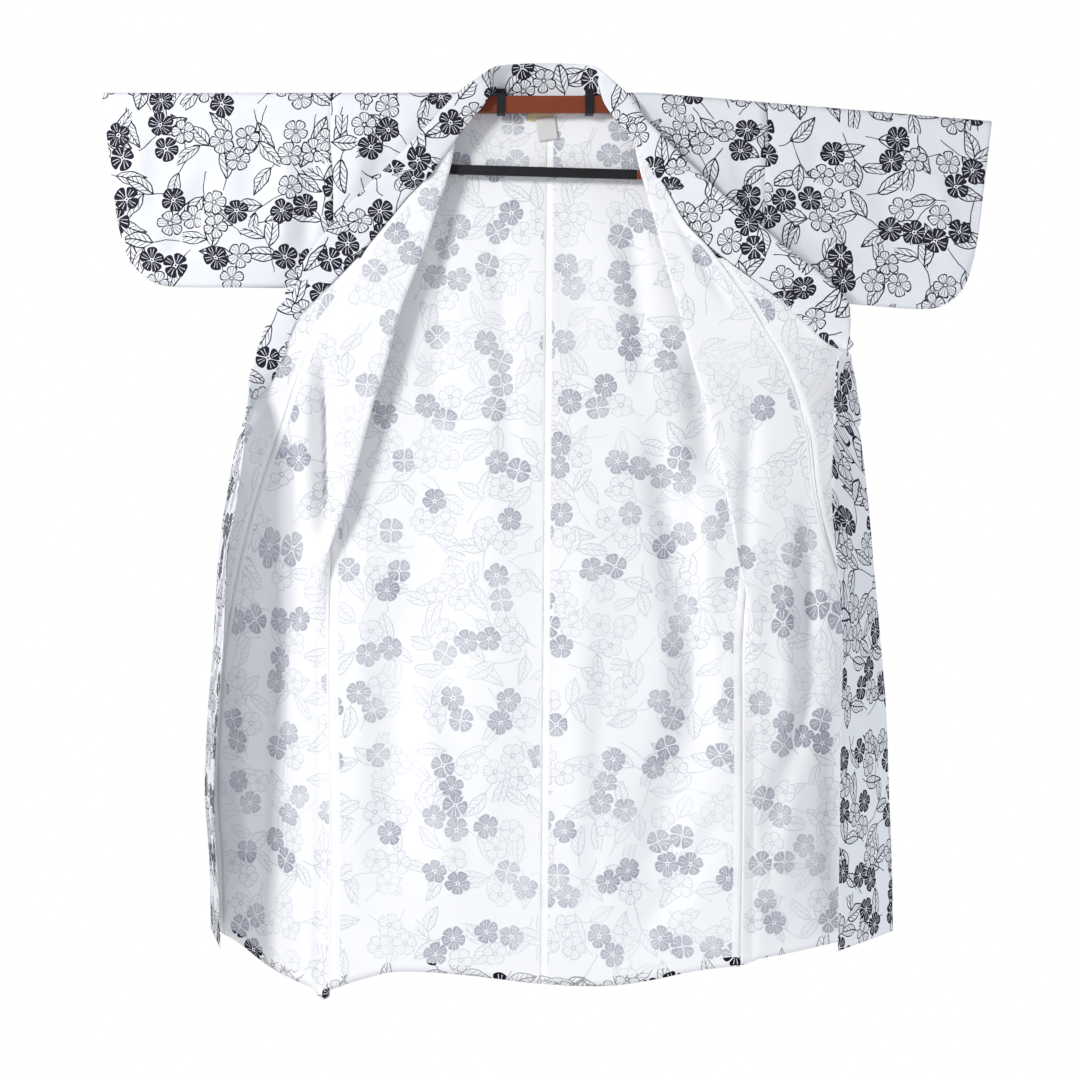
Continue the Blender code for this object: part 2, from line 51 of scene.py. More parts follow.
# --- Hanger -----------------------------------------------------------------------------------------------
# A flat bar with long arms inside the sleeves, and a lower rod on two struts. Bar, arms and rod ends are
# moulded in red-brown plastic with a satin face; the rod and the two clips pushed over the bar are black.
class Shade:
    """One socket of a material. Sums of these add Math nodes, and node() adds any other node."""

    def __init__(self, tree, socket=None):
        self.tree, self.socket = tree, socket

    def node(self, kind, settings=None, sockets=None, output=0):
        """A new node: its settings are set first, then the values or links of its sockets."""
        made = self.tree.nodes.new(kind)
        for name, value in (settings or {}).items():
            setattr(made, name, value)
        for name, value in (sockets or {}).items():
            if isinstance(value, Shade):
                self.tree.links.new(value.socket, made.inputs[name])
            else:
                made.inputs[name].default_value = value
        return Shade(self.tree, made.outputs[output])

    def math(self, operation, *values):
        return self.node("ShaderNodeMath", {"operation": operation}, dict(enumerate(values)))

    def vector(self, operation, *values, output=0):
        return self.node("ShaderNodeVectorMath", {"operation": operation}, dict(enumerate(values)), output)

    def __add__(self, other):
        return self.math("ADD", self, other)

    def __sub__(self, other):
        return self.math("SUBTRACT", self, other)

    def __rsub__(self, other):
        return self.math("SUBTRACT", other, self)

    def __mul__(self, other):
        return self.math("MULTIPLY", self, other)

    def __truediv__(self, other):
        return self.math("DIVIDE", self, other)

    def __lt__(self, other):
        return self.math("LESS_THAN", self, other)

    def __gt__(self, other):
        return self.math("GREATER_THAN", self, other)

    def __abs__(self):
        return self.math("ABSOLUTE", self)

    def max(self, other):
        return self.math("MAXIMUM", self, other)

    def min(self, other):
        return self.math("MINIMUM", self, other)

    def mixed(self, low, high, kind="FLOAT"):
        """low where this mask is 0 and high where it is 1."""
        names = {"FLOAT": (2, 3, 0), "VECTOR": (4, 5, 1), "RGBA": (6, 7, 2)}[kind]
        sockets = {0: self, names[0]: low, names[1]: high}
        return self.node("ShaderNodeMix", {"data_type": kind}, sockets, names[2])


def new_material(name):
    """An empty material: its first Shade, to draw with, and its Principled shader."""
    made = bpy.data.materials.new(name)
    made.use_nodes = True
    return made, Shade(made.node_tree), made.node_tree.nodes["Principled BSDF"]


def link(shader, name, value):
    """Feed one of the shader's sockets."""
    value.tree.links.new(value.socket, shader.inputs[name])


def moulded(name, dark, light, rough, grain, gloss):
    """Satin plastic: flow marks along the bar, fine scuffs, and a rougher, dustier skin in patches."""
    made, shade, shader = new_material(name)
    place = shade.node("ShaderNodeTexCoord", output=3)
    long = shade.node("ShaderNodeMapping", {}, {"Vector": place, "Scale": (6, 90, 90)})
    flow = shade.node("ShaderNodeTexNoise", {}, {"Vector": long, "Scale": 1.0, "Detail": 5.0})
    patch = shade.node("ShaderNodeTexNoise", {}, {"Vector": place, "Scale": 38.0, "Detail": 4.0})
    scuff = shade.node("ShaderNodeTexNoise", {}, {"Vector": long, "Scale": 14.0, "Detail": 2.0})
    mark = (scuff > 0.68) * 0.5
    body = (flow * 0.7 + patch * 0.5).mixed((*dark, 1), (*light, 1), "RGBA")
    worn = (mark * 0.3).mixed(body, (*[c * 0.6 + 0.12 for c in light], 1), "RGBA")
    link(shader, "Base Color", worn)
    link(shader, "Roughness", patch * 0.25 + mark * 0.2 + rough)
    height = patch + flow * 0.5
    bump = shade.node("ShaderNodeBump", {}, {"Strength": 0.35, "Distance": grain, "Height": height})
    link(shader, "Normal", bump)
    shader.inputs["Coat Weight"].default_value = gloss
    shader.inputs["Specular IOR Level"].default_value = 0.3
    shader.inputs["Coat Roughness"].default_value = 0.25
    return made


red_brown = moulded("hanger_red_brown", (0.155, 0.030, 0.011), (0.255, 0.050, 0.018), 0.34, 0.0003, 0.06)
black = moulded("hanger_black", (0.004, 0.004, 0.005), (0.013, 0.013, 0.016), 0.46, 0.0002, 0.0)
for name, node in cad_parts.items():
    if name.startswith(("hanger_bar", "hanger_arm", "hanger_strut", "lower_rod_end")):
        node.material_slots[0].material = red_brown
    elif name.startswith(("hanger_clip", "lower_rod")):
        node.material_slots[0].material = black


# --- Printed cotton ---------------------------------------------------------------------------------------
# Plain-woven cotton, cool white, printed on its face in one near-black ink: five- or four-petalled flowers,
# solid or in outline, with pointed leaves on thin stems. The ink shows through faintly on the back. Shader
# lengths are millimetres on the flat cloth, from the "Cloth" map, which is in metres.
PER_METRE = 1000.0
GROUND, INK = (0.85, 0.87, 0.91), (0.012, 0.009, 0.024)
THROUGH = (0.33, 0.35, 0.43)  # the ink seen from the back of the cloth
ALLOWANCE, HEM_TURN = 13.0, 14.0  # seam turnings and turned hems on the inside

# Motifs are scattered over the cloth one to a cell. PRINT_SCALE enlarges the whole print, so the sizes below
# are from before it. A cluster's flowers are (x, y, turn).
PRINT_SCALE = 1.07
CLUSTER_CELL, PAIR_CELL, LEAF_CELL = 82.0, 76.0, 60.0
CLUSTER = [(-17, -8, 0.2), (15, -11, 1.3), (-1, 20, 0.7)]
LEAF_LONG, LEAF_WIDE = 22.5, 9.2  # half of a leaf's length and of its width
PETAL_MIDDLE, PETAL_HALF = 9.4, 7.4  # a petal's middle from the flower's, and half its length
EYE, EYE_RING, EYE_DOT = 2.8, 1.9, 1.3
SOLID_FROM, FOUR_PETALS_FROM = 0.47, 0.8  # a flower's chance from which it is solid, or has four petals
FULL_TURN = 6.283


def drawn_flower(at, reach, solid, half, line):
    """Ink and cover of a flower: egg-shaped petals with two veins each, round a ringed eye."""
    split = at.node("ShaderNodeSeparateXYZ", {}, {0: at})
    x, y = split, Shade(at.tree, split.socket.node.outputs[1])
    turn = x.math("WRAP", x.math("ARCTAN2", y, x), half, half * -1)
    out = reach * turn.math("COSINE", turn)
    across = abs(reach * turn.math("SINE", turn)) / ((out * 0.85 + 2.0) * half)
    far = out.math("MULTIPLY_ADD", out, 1 / PETAL_HALF, -PETAL_MIDDLE / PETAL_HALF)
    ring = far * far + across * across
    petal = ring < 1.0
    vein = (abs(across - 0.24) < 0.047) * (abs(out - PETAL_MIDDLE) < 4.8)
    plain = petal * (ring > 0.63).max(vein) * line
    inked = petal * (1 - vein)
    heart = reach < EYE
    eye = solid.mixed(reach > EYE_RING, reach < EYE_DOT)
    return heart.mixed(solid.mixed(plain, inked), eye), petal.max(heart)


def drawn_leaf(x, y, line):
    """Ink and cover of a leaf: outline, midrib and slanting side veins. It runs from -1 to 1 along x."""
    y = abs(y)
    wide = (1 - x * x) * (1 - x * 0.25)
    inside = (y < wide) * (abs(x) < 1.0)
    outline = y > wide - 0.175
    rib = y < 0.085
    along_rib = x * 3.1 - y * 1.7
    vein = (along_rib.math("FRACT", along_rib) < 0.19) * (y < wide * 0.74)
    return inside * outline.max(rib).max(vein) * line, inside


def scattered(flat, cell, loose, shift):
    """Coordinates about the nearest motif's middle, turned at random, and a chance of its own."""
    moved = flat.vector("ADD", flat, (*shift, 0))
    sockets = {"Vector": moved, "Scale": 1 / cell, "Randomness": loose}
    colour = flat.node("ShaderNodeTexVoronoi", {"voronoi_dimensions": "2D"}, sockets, 1)
    middle = Shade(flat.tree, colour.socket.node.outputs[2])
    turn = flat.node("ShaderNodeSeparateXYZ", {}, {0: colour})
    chance = Shade(flat.tree, turn.socket.node.outputs[1])
    turned = {"Vector": flat.vector("SUBTRACT", moved, middle), "Angle": turn * FULL_TURN}
    return flat.node("ShaderNodeVectorRotate", {"rotation_type": "Z_AXIS"}, turned), chance


def drawn_clusters(flat, line):
    """Ink and cover of the flowers: three to a cluster, some solid and some in outline."""
    local, chance = scattered(flat, CLUSTER_CELL, 0.42, (0, 0))
    at, reach, pick = None, None, None
    for number, (x, y, turn) in enumerate(CLUSTER):
        sockets = {"Vector": local, "Location": (x, y, 0), "Rotation": (0, 0, turn)}
        own = local.node("ShaderNodeMapping", {"vector_type": "TEXTURE"}, sockets)
        length = own.vector("LENGTH", own, output=1)
        if at is None:
            at, reach, pick = own, length, chance * 3.1
        else:
            nearer = length < reach
            at, reach = nearer.mixed(at, own, "VECTOR"), length.min(reach)
            pick = nearer.mixed(pick, chance * (3.1 + 2.7 * number))
    pick = pick.math("FRACT", pick)
    half = (pick > FOUR_PETALS_FROM).mixed(math.pi / 5, math.pi / 4)
    return drawn_flower(at, reach, pick > SOLID_FROM, half, line)


def drawn_leaves(flat, line, cell, shift, paired):
    """Ink and cover of leaves on curved stems: one to a cell, or two side by side on one stem."""
    local, chance = scattered(flat, cell, 0.4, shift)
    split = flat.node("ShaderNodeSeparateXYZ", {}, {0: local})
    x, y = split, Shade(flat.tree, split.socket.node.outputs[1])
    bend = x * x * 0.006
    stem = (abs(y - bend) < 0.68) * (abs(x + 8) < cell * 0.4)
    if paired:
        side = y > bend
        x = x - side * 13.0 + 2.0
        y = abs(y - bend)
        x, y = x * 0.77 + y * 0.64 - LEAF_LONG, y * 0.77 - x * 0.64
    else:
        x, y = x - 8.0, y - bend
    size = chance * 0.22 + 0.92
    leaf, cover = drawn_leaf(x / (size * LEAF_LONG), y / (size * LEAF_WIDE), line)
    return cover.mixed(stem * line, leaf), cover


def drawn_print(flat, line):
    """Ink of the whole print, slightly hand-drawn, with the flowers over the leaves. line is how much a
    drawn line shows beside a solid petal."""
    wobble = flat.node("ShaderNodeTexNoise", {}, {"Vector": flat, "Scale": 0.05, "Detail": 1.0}, 1)
    flat = flat.vector("ADD", flat, wobble.vector("MULTIPLY_ADD", wobble, (6, 6, 0), (-3, -3, 0)))
    ink, covered = drawn_clusters(flat, line)
    for cell, shift, paired in ((PAIR_CELL, (410, 230), True), (LEAF_CELL, (95, 720), False)):
        layer, cover = drawn_leaves(flat, line, cell, shift, paired)
        ink = ink.max(layer * (1 - covered))
        covered = covered.max(cover)
    return ink


def cotton(name, inside):
    """The cloth's face, or its back with turned hems and seam turnings."""
    made, shade, shader = new_material(name)
    metres = shade.node("ShaderNodeUVMap", {"uv_map": "Cloth"})
    flat = metres.node("ShaderNodeVectorMath", {"operation": "SCALE"}, {0: metres, "Scale": PER_METRE})
    soft = shade.node("ShaderNodeTexNoise", {}, {"Vector": flat, "Scale": 0.011, "Detail": 3.0})
    slub = shade.node("ShaderNodeTexNoise", {}, {"Vector": flat, "Scale": 0.35, "Detail": 3.0})
    creased = {"Vector": flat, "Scale": 0.035, "Detail": 4.0, "Roughness": 0.6}
    crumple = shade.node("ShaderNodeTexNoise", {}, creased)
    across, along_it = ({"Vector": flat, "Scale": scale, "Distortion": 0.4} for scale in (0.55, 0.6))
    weft = shade.node("ShaderNodeTexWave", {"bands_direction": "X"}, across)
    warp = shade.node("ShaderNodeTexWave", {"bands_direction": "Y"}, along_it)
    height = crumple * 0.5 + (weft * warp) * 0.035 + slub * 0.03
    scaled = {0: metres, "Scale": PER_METRE / PRINT_SCALE}
    drawn = metres.node("ShaderNodeVectorMath", {"operation": "SCALE"}, scaled)
    ink = drawn_print(drawn, 0.48 if inside else 1.0)
    if inside:
        edges = shade.node("ShaderNodeUVMap", {"uv_map": "Edges"})
        split = edges.node("ShaderNodeSeparateXYZ", {}, {0: edges})
        seam, hem = split * PER_METRE, Shade(shade.tree, split.socket.node.outputs[1]) * PER_METRE
        turning, turned = seam < ALLOWANCE, hem < HEM_TURN
        seen = ink * (soft * 1.5 + slub * 0.9 - 0.54)
        seen = turning.mixed(seen, seen * 0.12)
        ground = turning.mixed((0.935, 0.94, 0.955, 1), (0.97, 0.97, 0.975, 1), "RGBA")
        ground = seen.mixed(ground, (*THROUGH, 1), "RGBA")
        colour = (turned * ink).mixed(ground, (*INK, 1), "RGBA")
        height = height + turned * 0.06
    else:
        ground = slub.mixed((*[c * 0.97 for c in GROUND], 1), (*GROUND, 1), "RGBA")
        colour = (ink * 0.985).mixed(ground, (*INK, 1), "RGBA")
    link(shader, "Base Color", colour)
    link(shader, "Roughness", slub * 0.12 + 0.78)
    bump = shade.node("ShaderNodeBump", {}, {"Strength": 0.5, "Distance": 0.0011, "Height": height})
    link(shader, "Normal", bump)
    shader.inputs["Specular IOR Level"].default_value = 0.06
    shader.inputs["Sheen Weight"].default_value = 0.012
    shader.inputs["Sheen Roughness"].default_value = 0.6
    return made


printed = cotton("cotton_print", False)
reverse = cotton("cotton_reverse", True)


# --- Body -------------------------------------------------------------------------------------------------
# Two lengths of cloth, one each side of the centre back seam. Each runs from the back hem up over the
# shoulder and down to the front hem. The fronts are folded out over the sleeves along a soft roll, and hang
# open below it like doors.
CLOTH = 0.5  # drawn thickness of the cloth
SHOULDER_Z, SHOULDER_Y, SHOULDER_ROUND = 4.5, 1.0, 10.0
BACK_Y = 12.0
SLEEVE_SEAM_X = {1: 320.0, -1: 314.0}
NECK_HALF = 88.0
NAPE_Z, NAPE_Y = -11.0, 20.0
CENTRE_TOP_X, CENTRE_HEM_X = 4.0, -6.0
FOLD_TURN, FOLD_DEPTH = 6.0, 4.0
DROOP_FROM, DROOP = 152.0, 0.083  # the hanger's arm on the +X side slopes down from here by this share
SECTION_TOP = -38  # the highest of the sections below
BODY_FLAT = 180  # where the bodies lie on the flat cloth, away from its middle

# Sections of the fronts at falling heights. Each pair is (X, Y) outwards and backwards: the side seam,
# the roll where the front turns back, the okumi seam, the outer fold of the okumi, the seam to the collar
# and the free edge. under and over say which way the cloth leaves the roll: 1 outwards, -1 inwards.
Row = namedtuple("Row", "z side roll under over okumi fold collar free")
LEFT = [
    Row(-38, (320, -9), (122, -12), 1, -1, (104, -12), (104, -12), (104, -12), (140, -20)),
    Row(-70, (320, -9), (127, -13), 1, 0.4, (132, -16), (132, -16), (132, -16), (167, -21)),
    Row(-93, (320, -9), (131, -14), 1, 1, (144, -18), (144, -18), (144, -18), (191, -21)),
    Row(-122, (320, -9), (138, -14), 1, 1, (162, -19), (162, -19), (162, -19), (223, -22)),
    Row(-137, (320, -9), (143, -14), 1, 1, (172, -19), (172, -19), (172, -19), (240, -22)),
    Row(-152, (320, -9), (147, -14), 1, 1, (180, -19), (180, -19), (180, -19), (256, -22)),
    Row(-190, (320, -9), (158, -14), 1, 1, (202, -20), (202, -20), (202, -20), (303, -23)),
    Row(-225, (320, -7), (167, -14), 1, 1, (235, -21), (235, -21), (236, -21), (343, -24)),
    Row(-298, (320, -1), (187, -14), 1, 1, (290, -21), (311, -22), (333, -22), (431, -26)),
    Row(-356, (318, 6), (203, -14), 1, 1, (326, -21), (362, -22), (397, -22), (436, -35)),
    Row(-368, (317, 7), (206, -14), 1, 1, (334, -21), (375, -21), (416, -20), (439, -46)),
    Row(-378, (316, 8), (208, -14), 1, 1, (340, -20), (388, -20), (438, -16), (427, -56)),
    Row(-388, (315, 8), (211, -14), 1, 1, (346, -20), (400, -18), (442, -16), (416, -61)),
    Row(-444, (311, 10), (228, -14), 1, 1, (368, -18), (438, -13), (451, -18), (409, -66)),
    Row(-484, (308, 11), (239, -14), 1, 1, (379, -14), (457, -2), (452, -24), (408, -66)),
    Row(-502, (307, 12), (244, -13), 1, 1, (384, -12), (462, 2), (409, -62), (408, -62)),
    Row(-590, (301, 14), (262, -10), 1, 1, (396, -2), (475, 14), (407, -54), (407, -54)),
    Row(-677, (297, 15), (280, -4), 0.6, 1, (424, 22), (487, 38), (415, -50), (415, -50)),
    Row(-794, (288, 16), (306, 10), -1, 1, (470, 50), (501, 60), (422, -59), (422, -59)),
    Row(-911, (288, 16), (309, 18), -1, 1, (494, 70), (514, 78), (419, -59), (419, -59)),
    Row(-1028, (288, 16), (310, 22), -1, 1, (500, 80), (520, 88), (420, -47), (420, -47)),
    Row(-1144, (287, 16), (310, 24), -1, 1, (506, 86), (526, 94), (420, -38), (420, -38)),
    Row(-1247, (285, 16), (308, 24), -1, 1, (508, 88), (528, 97), (419, -33), (419, -33)),
]
RIGHT = [
    Row(-38, (314, -9), (134, -12), 1, -1, (117, -12), (117, -12), (117, -12), (155, -20)),
    Row(-70, (314, -9), (134, -13), 1, 0.4, (141, -16), (141, -16), (141, -16), (188, -21)),
    Row(-93, (314, -9), (137, -14), 1, 1, (156, -18), (156, -18), (156, -18), (212, -21)),
    Row(-122, (314, -9), (144, -14), 1, 1, (176, -19), (176, -19), (176, -19), (243, -22)),
    Row(-137, (314, -9), (149, -14), 1, 1, (187, -19), (187, -19), (187, -19), (260, -22)),
    Row(-152, (314, -9), (154, -14), 1, 1, (201, -19), (201, -19), (201, -19), (275, -22)),
    Row(-225, (314, -7), (178, -14), 1, 1, (260, -21), (260, -21), (261, -21), (337, -24)),
    Row(-298, (314, -1), (207, -14), 1, 1, (300, -21), (316, -22), (331, -22), (382, -25)),
    Row(-334, (314, 4), (218, -14), 1, 1, (326, -21), (344, -22), (363, -23), (404, -27)),
    Row(-375, (315, 7), (229, -14), 1, 1, (346, -20), (361, -21), (376, -22), (418, -30)),
    Row(-410, (315, 9), (239, -14), 1, 1, (361, -18), (378, -19), (393, -20), (427, -38)),
    Row(-444, (315, 10), (250, -14), 1, 1, (373, -16), (402, -14), (422, -16), (427, -54)),
    Row(-484, (316, 11), (261, -14), 1, 1, (386, -11), (438, -5), (440, -24), (428, -68)),
    Row(-502, (316, 12), (266, -13), 1, 1, (394, -8), (452, 0), (428, -72), (428, -72)),
    Row(-590, (318, 14), (290, -11), 1, 1, (426, 10), (476, 32), (441, -66), (441, -66)),
    Row(-677, (319, 15), (322, 2), -0.2, 1, (456, 48), (493, 66), (456, -60), (456, -60)),
    Row(-794, (320, 16), (341, 20), -1, 1, (484, 86), (506, 100), (464, -45), (464, -45)),
    Row(-911, (319, 16), (342, 26), -1, 1, (496, 102), (518, 115), (475, -34), (475, -34)),
    Row(-1028, (317, 16), (341, 28), -1, 1, (502, 110), (524, 122), (481, -27), (481, -27)),
    Row(-1144, (316, 16), (340, 28), -1, 1, (496, 114), (518, 127), (476, -22), (476, -22)),
    Row(-1247, (318, 16), (342, 28), -1, 1, (494, 116), (516, 130), (472, -20), (472, -20)),
]
ROWS = {1: LEFT, -1: RIGHT}

# Hems: heights along the cut, from the side seam at 0 to the free edge at 1, and across the back by X
FRONT_SHARE = 0.61  # of a front and okumi together, up to the okumi seam
HEM = {
    1: [(0, -1274), (0.35, -1264), (0.61, -1242), (1, -1240)],
    -1: [(0, -1318), (0.15, -1325), (0.3, -1312), (0.45, -1291), (0.61, -1250), (1, -1240)],
}
HEM_BACK = [(-319, -1316), (-247, -1291), (-207, -1282), (-110, -1287), (-10, -1299), (92, -1303)]
HEM_BACK += [(166, -1294), (225, -1282), (285, -1275)]
BACK_SIDE_Y = [(-1300, 18), (-794, 18), (-590, 16), (-502, 14), (-444, 12), (-356, 9), (-298, 6)]
BACK_SIDE_Y += [(-225, 12), (0, 12)]

# Folds: from (x, z) to (x, z), half width, and depth away from the opening
Fold = namedtuple("Fold", "x0 z0 x1 z1 width depth")
BACK_FOLDS = [
    Fold(150, -420, 245, -1060, 24, 24),
    Fold(262, -700, 130, -1250, 36, 22),
    Fold(216, -350, 250, -600, 24, 24),
    Fold(206, -470, 232, -960, 14, 9),
    Fold(-60, -260, -100, -1250, 60, -9),
    Fold(-190, -560, -255, -1290, 45, 14),
    Fold(60, -500, 40, -1290, 42, -11),
    Fold(-150, -130, -170, -520, 16, 7),
    Fold(120, -150, 150, -460, 16, 8),
    Fold(-215, -700, -120, -1270, 26, -9),
    Fold(-72, -130, -50, -640, 16, 6),
    Fold(86, -700, 60, -1280, 18, 6),
    Fold(222, -560, 262, -1000, 14, -6),
    Fold(20, -120, 60, -420, 30, 3),
    Fold(-262, -420, -286, -1240, 13, -5),
    Fold(306, -1000, 120, -1260, 26, 15),
]
DOOR_FOLDS = {
    1: [Fold(400, -480, 372, -900, 18, 28), Fold(366, -560, 346, -1250, 20, -12),
        Fold(420, -860, 440, -1260, 16, 11), Fold(300, -420, 282, -760, 12, 9),
        Fold(176, -160, 276, -330, 9, 6), Fold(414, -760, 318, -1130, 17, 17)],
    -1: [Fold(330, -345, 322, -680, 11, 30), Fold(354, -330, 352, -660, 12, -8),
         Fold(410, -640, 420, -1290, 26, 22), Fold(460, -820, 456, -1260, 14, -10),
         Fold(372, -420, 366, -900, 16, 8)],
}
PANEL_FOLDS = {
    1: [Fold(232, -10, 276, -190, 13, -5), Fold(286, -10, 300, -220, 12, 4)],
    -1: [Fold(262, -8, 300, -230, 14, -6), Fold(215, -8, 262, -150, 12, 5)],
}

# One point of cloth: its place, where it lies on the flat cloth, and how far it is from a seam and a hem
Point = namedtuple("Point", "at flat edge")
AWAY = 200.0  # stands for "no seam or hem near here"
# How many times narrower than a whole turning these are: pressed open at the centre, or trimmed on one side
CENTRE_TURNING, FRONT_TURNING, OKUMI_TURNING = 1.9, 3.2, 1.5


def smooth(t):
    """Ease from 0 to 1."""
    t = min(1.0, max(0.0, t))
    return t * t * (3 - 2 * t)


def mix(a, b, t):
    """A number or a point between a and b."""
    if isinstance(a, (int, float)):
        return a + (b - a) * t
    return tuple(mix(p, q, t) for p, q in zip(a, b))


def along(table, x):
    """The value at x on a curve through (x, value) pairs, with eased tangents."""
    table = sorted(table)
    if x <= table[0][0]:
        return table[0][1]
    for i in range(len(table) - 1):
        (x0, y0), (x1, y1) = table[i], table[i + 1]
        if x <= x1:
            before = table[max(i - 1, 0)]
            after = table[min(i + 2, len(table) - 1)]
            m0 = (y1 - before[1]) / (x1 - before[0]) * (x1 - x0)
            m1 = (after[1] - y0) / (after[0] - x0) * (x1 - x0)
            t = (x - x0) / (x1 - x0)
            a, b = t * t * (3 - 2 * t), t * (1 - t)
            return y0 + (y1 - y0) * a + m0 * b * (1 - t) - m1 * b * t
    return table[-1][1]


sections = {}


def section(side, z):
    """The front's section points at height z, as a Row."""
    z = round(min(z, SECTION_TOP), 2)
    if (side, z) not in sections:
        rows = ROWS[side]
        values = {"z": z}
        for name in Row._fields[1:]:
            if isinstance(getattr(rows[0], name), tuple):
                values[name] = tuple(along([(r.z, getattr(r, name)[k]) for r in rows], z) for k in (0, 1))
            else:
                values[name] = along([(r.z, getattr(r, name)) for r in rows], z)
        sections[side, z] = Row(**values)
    return sections[side, z]


def fold_depth(folds, x, z):
    """How far the folds push the cloth back at (x, z)."""
    total = 0.0
    for f in folds:
        run = (f.z0 - z) / (f.z0 - f.z1)
        if 0 < run < 1:
            fade = smooth(run * 3) * smooth((1 - run) * 3)
            off = (x - mix(f.x0, f.x1, run)) / f.width
            total += f.depth * fade * math.exp(-off * off)
    return total


def ripple(x, z, seed, long=1.0):
    """Shallow uneven waves of hung cloth, in mm, longer down than across."""
    broad = noise.noise(Vector((x / 55, z / (170 * long), seed)))
    return broad + 0.4 * noise.noise(Vector((x / 24, z / 75, seed + 7)))


def over_shoulder(y, z):
    """Y drawn in to the shoulder fold near the top."""
    down = SHOULDER_Z - z
    if down >= SHOULDER_ROUND:
        return y
    rise = 1 - max(0.0, down) / SHOULDER_ROUND
    return SHOULDER_Y + (y - SHOULDER_Y) * math.sqrt(max(0.0, 1 - rise * rise))


def droop(x, fade):
    """How far the sloping arm lets the cloth down at x."""
    return -max(0.0, x - DROOP_FROM) * DROOP * fade


def bezier(a, b, c, d, t):
    """A point of a cubic curve."""
    ab, bc, cd = mix(a, b, t), mix(b, c, t), mix(c, d, t)
    return mix(mix(ab, bc, t), mix(bc, cd, t), t)


def arcs(path):
    """How far each point of a path is along it."""
    lengths = [0.0]
    for p, q in zip(path, path[1:]):
        lengths.append(lengths[-1] + math.dist(p, q))
    return lengths


def sewn_cloth(name, grids, slots, thick=CLOTH):
    """A thin closed shell round grids of Points, with its flat places and edge distances as maps."""
    places, faces, flats, edges = [], [], [], []
    for grid, flip in grids:
        start, wide = len(places), len(grid[0])
        for row in grid:
            places += [tuple(v * MM for v in p.at) for p in row]
            flats += [tuple(v * MM for v in p.flat) for p in row]
            edges += [tuple(v * MM for v in p.edge) for p in row]
        for i in range(len(grid) - 1):
            for j in range(wide - 1):
                a = start + i * wide + j
                quad = (a, a + wide, a + wide + 1, a + 1)
                faces.append(quad[::-1] if flip else quad)
    mesh = bpy.data.meshes.new(name)
    mesh.from_pydata(places, [], faces)
    for map_name, values in (("Cloth", flats), ("Edges", edges)):
        layer = mesh.uv_layers.new(name=map_name)
        for loop in mesh.loops:
            layer.data[loop.index].uv = values[loop.vertex_index]
    for finish in slots:
        mesh.materials.append(finish)
    mesh.shade_smooth()
    made = bpy.data.objects.new(name, mesh)
    bpy.context.collection.objects.link(made)
    wall = made.modifiers.new("Wall", "SOLIDIFY")
    wall.thickness = thick * MM
    wall.offset = 0
    wall.material_offset = len(slots) - 1
    return made


def dress(piece, nodes):
    """Hang a piece of cloth from the root, and hide the parts of the model that it stands for."""
    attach(piece, "root")
    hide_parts(*nodes)


def neckline_z(x):
    """Top edge of the back."""
    return min(SHOULDER_Z, mix(NAPE_Z, SHOULDER_Z, (x / NECK_HALF) ** 2))


def back_y(x, z, side_x):
    """Y of the back's cloth: the side seam's at its edge, the nape's at the neck, with the folds."""
    edge = smooth((side_x - abs(x)) / 90)
    y = mix(along(BACK_SIDE_Y, z), 15.0 if z < -120 else mix(BACK_Y, 15, -z / 120), edge)
    nape = math.exp(-((x / 75) ** 2)) * smooth((z + 160) / 160)
    waves = ripple(x, z, 3.3) * 1.6 * smooth(-z / 250)
    return mix(y, NAPE_Y, nape) + edge * (fold_depth(BACK_FOLDS, x, z) + waves)


BACK_TOP = 14  # rows eased in from the shoulder
BACK_FULL = 100  # rows from there down to where the hem's shape begins
BACK_HEM = 16  # rows from there to the hem
BACK_COLUMNS = 40
HEM_SHAPE_Z = -1110.0
TOP_Z = -40.0


def back_grid(side):
    """One back, from the neck and shoulder to the hem."""
    grid = []
    for step in range(BACK_TOP + BACK_FULL + BACK_HEM + 1):
        row = []
        for k in range(BACK_COLUMNS + 1):
            share = k / BACK_COLUMNS
            top_x = mix(CENTRE_TOP_X * side, SLEEVE_SEAM_X[side], share)
            top = neckline_z(top_x)
            hem = along(HEM_BACK, side * mix(0, 300, share))
            if step <= BACK_TOP:
                z = mix(top, TOP_Z, (step / BACK_TOP) ** 2)
            elif step <= BACK_TOP + BACK_FULL:
                z = mix(TOP_Z, HEM_SHAPE_Z, (step - BACK_TOP) / BACK_FULL)
            else:
                z = mix(HEM_SHAPE_Z, hem, (step - BACK_TOP - BACK_FULL) / BACK_HEM)
            side_x = section(side, z).side[0]
            x = mix(mix(CENTRE_TOP_X, CENTRE_HEM_X, -z / 1300) * side, side_x, share)
            y = over_shoulder(back_y(side * x, z, side_x), z)
            centre = x - mix(CENTRE_TOP_X, CENTRE_HEM_X, -z / 1300) * side
            if k == 0 and side > 0:
                x, y = x - 3, y - 0.4
            seam = min(centre * CENTRE_TURNING, side_x - x)
            at = (side * x, y, z + droop(side * x, 1 - smooth(-z / 150)))
            flat = (side * x + BODY_FLAT * side, 2 * SHOULDER_Z - z)
            row.append(Point(at, flat, (seam if z < -20 else AWAY, z - hem)))
        grid.append(row)
    return grid, side > 0


UNDER, TURN, OVER = 14, 8, 18  # columns of a front before, round and after its roll
FRONT_Z = [4.5, 4.3, 3.7, 2.6, 1.0, -1.5, -5, -10] + [-16 - 8 * k for k in range(134)]
FRONT_HEM = 20  # rows below those, eased into the hem's shape


